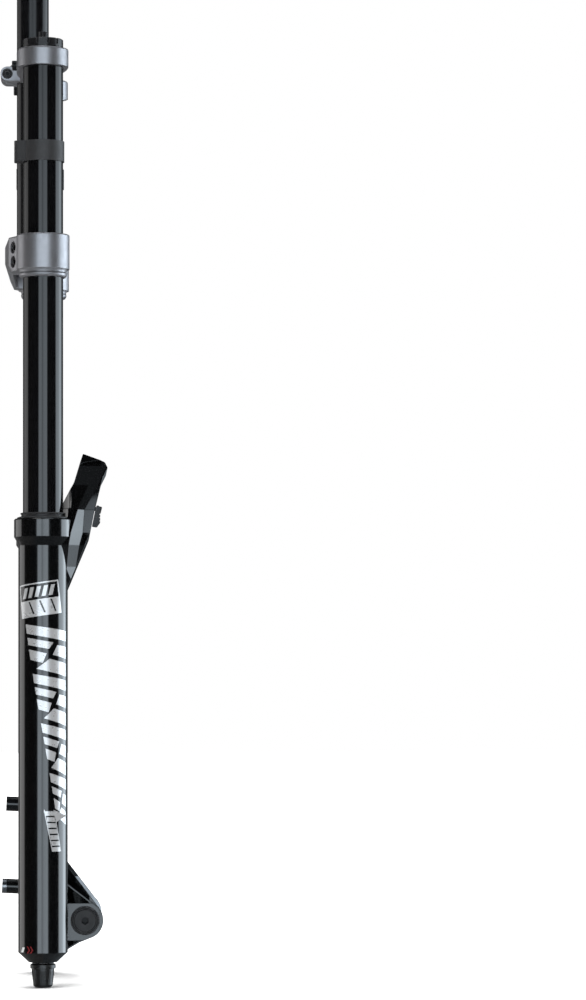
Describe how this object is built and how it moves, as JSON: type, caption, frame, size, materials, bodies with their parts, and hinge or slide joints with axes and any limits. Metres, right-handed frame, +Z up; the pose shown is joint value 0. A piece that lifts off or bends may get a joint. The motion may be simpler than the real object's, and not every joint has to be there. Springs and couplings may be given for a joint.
{
  "type": "suspension fork",
  "caption": "Dual-crown downhill suspension fork: two crowns, steerer and stanchions slide in one casting with an arch, brake posts and through axle.",
  "frame": {"origin": "centre of the crown race seat, where the lower headset bearing rests on the lower crown, on the steerer axis", "axes": "+Z up along the steerer, +X forward, +Y to the rider's left"},
  "size_m": [0.0949, 0.2364, 0.8853],
  "materials": {
    "steerer": "satin",
    "crown": "satin",
    "bolt": "satin",
    "stanchion": "gloss",
    "casting": "gloss",
    "rubber": "matte",
    "cap": "satin",
    "knob": "satin",
    "rebound": "matte",
    "axle": "satin",
    "axle_bolt": "satin",
    "inner_metal": "satin",
    "shaft": "polished",
    "brass": "satin",
    "washer": "satin",
    "bushing": "satin",
    "spacer": "matte",
    "foam": "matte"
  },
  "bodies": {
    "crown_assembly": {"steerer_tube": "steerer", "lower_crown": "crown", "upper_crown": "crown", "lower_crown_bolts": "bolt", "upper_crown_pinch_bolts": "bolt", "steerer_clamp_bolt": "bolt", "stanchion_left": "stanchion", "stanchion_right": "stanchion", "frame_bumper_left": "rubber", "frame_bumper_right": "rubber", "damper_top_cap": "cap", "air_top_cap": "cap", "air_valve": "brass", "damper_cartridge_tube": "inner_metal", "compression_valve": "inner_metal", "damper_seal_head": "inner_metal", "air_seal_head": "inner_metal", "retaining_ring": "shaft", "volume_spacers": "spacer"},
    "lowers": {"lower_legs": "casting", "dust_wiper_left": "rubber", "dust_wiper_right": "rubber", "foam_rings": "foam", "upper_bushings": "bushing", "lower_bushings": "bushing", "bottom_out_bumpers": "rubber", "crush_washers": "washer", "damper_foot_bolt": "bolt", "air_foot_bolt": "bolt", "damper_shaft": "shaft", "rebound_piston": "inner_metal", "air_shaft": "shaft", "air_piston": "inner_metal", "top_out_bumper": "rubber", "hose_guide": "rebound", "hose_guide_screw": "bolt"},
    "rebound_adjuster": {"rebound_knob": "rebound", "rebound_rod": "shaft"},
    "high_speed_adjuster": {"high_speed_dial": "cap"},
    "low_speed_adjuster": {"low_speed_knob": "knob"},
    "compensator": {"floating_piston": "inner_metal"},
    "valve_cover": {"air_valve_cap": "rebound"},
    "axle": {"thru_axle": "axle", "axle_wedge": "axle_bolt"},
    "axle_bolt_body": {"axle_bolt": "axle_bolt"}
  },
  "joints": [
    {"name": "fork_travel", "type": "slide", "parent": "crown_assembly", "child": "lowers", "axis": [0, 0, 1], "range_m": [0, 0.2], "stiffness_N_per_m": 5000, "springref_m": -0.02},
    {"name": "compensator_slide", "type": "slide", "parent": "crown_assembly", "child": "compensator", "axis": [0, 0, 1], "range_m": [0, 0.032]},
    {"name": "rebound_turn", "type": "hinge", "parent": "lowers", "child": "rebound_adjuster", "pos_m": [0.0095, -0.093, -0.643], "axis": [0, 0, 1], "range_deg": [-240, 240]},
    {"name": "high_speed_turn", "type": "hinge", "parent": "crown_assembly", "child": "high_speed_adjuster", "pos_m": [0.0095, -0.093, 0.17], "axis": [0, 0, 1], "range_deg": [-60, 60]},
    {"name": "low_speed_turn", "type": "hinge", "parent": "crown_assembly", "child": "low_speed_adjuster", "pos_m": [0.0095, -0.093, 0.175], "axis": [0, 0, 1], "range_deg": [-160, 160]},
    {"name": "valve_cap_lift", "type": "slide", "parent": "crown_assembly", "child": "valve_cover", "axis": [0, 0, 1], "range_m": [0, 0.02]},
    {"name": "axle_withdraw", "type": "slide", "parent": "lowers", "child": "axle", "axis": [0, -1, 0], "range_m": [0, 0.15]},
    {"name": "axle_bolt_turn", "type": "hinge", "parent": "axle", "child": "axle_bolt_body", "pos_m": [0.046, -0.0778, -0.5975], "axis": [0, -1, 0], "range_deg": [0, 360]}
  ],
  "couplings": [
    {"joint": "compensator_slide", "follows": "fork_travel", "ratio": 0.156}
  ]
}
